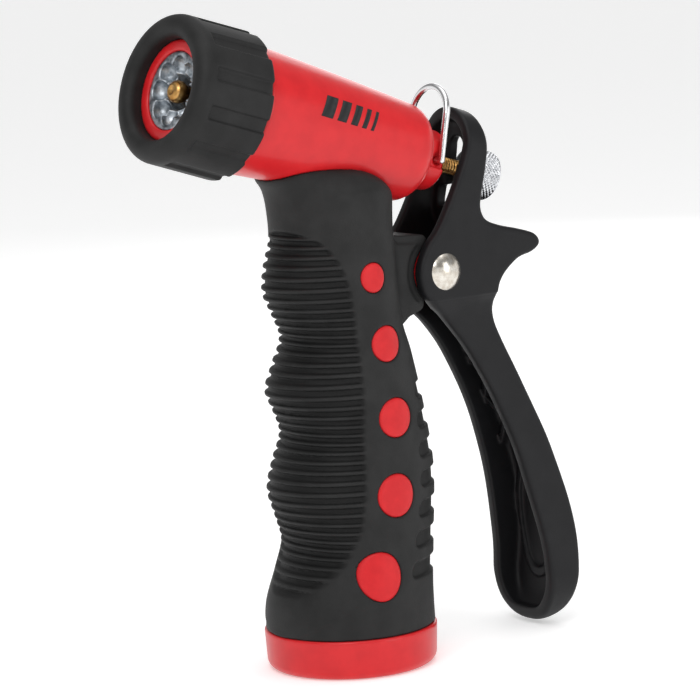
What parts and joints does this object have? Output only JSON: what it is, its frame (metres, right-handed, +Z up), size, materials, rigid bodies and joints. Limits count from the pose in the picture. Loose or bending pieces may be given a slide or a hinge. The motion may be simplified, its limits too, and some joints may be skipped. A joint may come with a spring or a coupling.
{
  "type": "garden hose spray gun",
  "caption": "Pistol-grip hose spray gun: rubber-covered grip, tilted barrel with a rubber front guard, rear squeeze lever, adjusting knob and wire hold-open bail.",
  "frame": {"origin": "centre of the hose socket's mouth in the grip's bottom face", "axes": "+Z up the grip, -X towards the spray end, +Y across; Y = 0 is the mirror plane of the main shapes"},
  "size_m": [0.0976, 0.0354, 0.1348],
  "materials": {
    "red_paint": "gloss",
    "grip_rubber": "matte",
    "red_plastic": "gloss",
    "zinc": "satin",
    "seal_rubber": "matte",
    "brass": "satin",
    "spring_steel": "bright",
    "knob_chrome": "bright",
    "nylon": "satin",
    "lever_black": "satin",
    "nickel": "satin"
  },
  "bodies": {
    "gun": {"body": "red_paint", "grip_sleeve": "grip_rubber", "grip_plugs": "red_plastic", "bumper": "grip_rubber", "spray_insert": "zinc", "insert_seal": "seal_rubber", "return_spring": "spring_steel", "spring_seat": "brass", "gland_washer": "brass", "gland_ring": "seal_rubber", "gland_nut": "brass", "pivot_bush": "nylon", "arm_washers": "nylon", "hose_washer": "seal_rubber"},
    "valve_stem": {"stem": "brass", "valve_washer": "seal_rubber", "valve_cup": "brass"},
    "knob": {"adjust_knob": "knob_chrome", "knob_ring": "nylon"},
    "lever": {"lever": "lever_black", "pivot_rivet": "nickel", "pivot_cap": "nickel"},
    "bail": {"bail": "spring_steel"}
  },
  "joints": [
    {"name": "lever_squeeze", "type": "hinge", "parent": "gun", "child": "lever", "pos_m": [0.0226, 0, 0.0786], "axis": [0, 1, 0], "range_deg": [0, 12.5], "stiffness_Nm_per_rad": 0.6, "springref_deg": -34.38},
    {"name": "stem_slide", "type": "slide", "parent": "gun", "child": "valve_stem", "axis": [0.9542, 0, -0.299], "range_m": [0, 0.0046], "deforming": ["return_spring"]},
    {"name": "knob_turn", "type": "hinge", "parent": "valve_stem", "child": "knob", "pos_m": [0.03721, 0, 0.09704], "axis": [0.9542, 0, -0.299], "range_deg": [-540, 540]},
    {"name": "bail_swing", "type": "hinge", "parent": "gun", "child": "bail", "pos_m": [0.02405, 0, 0.10116], "axis": [0, 1, 0], "range_deg": [-20, 18]}
  ],
  "couplings": [
    {"joint": "stem_slide", "follows": "lever_squeeze", "m_per_rad": 0.0206}
  ]
}
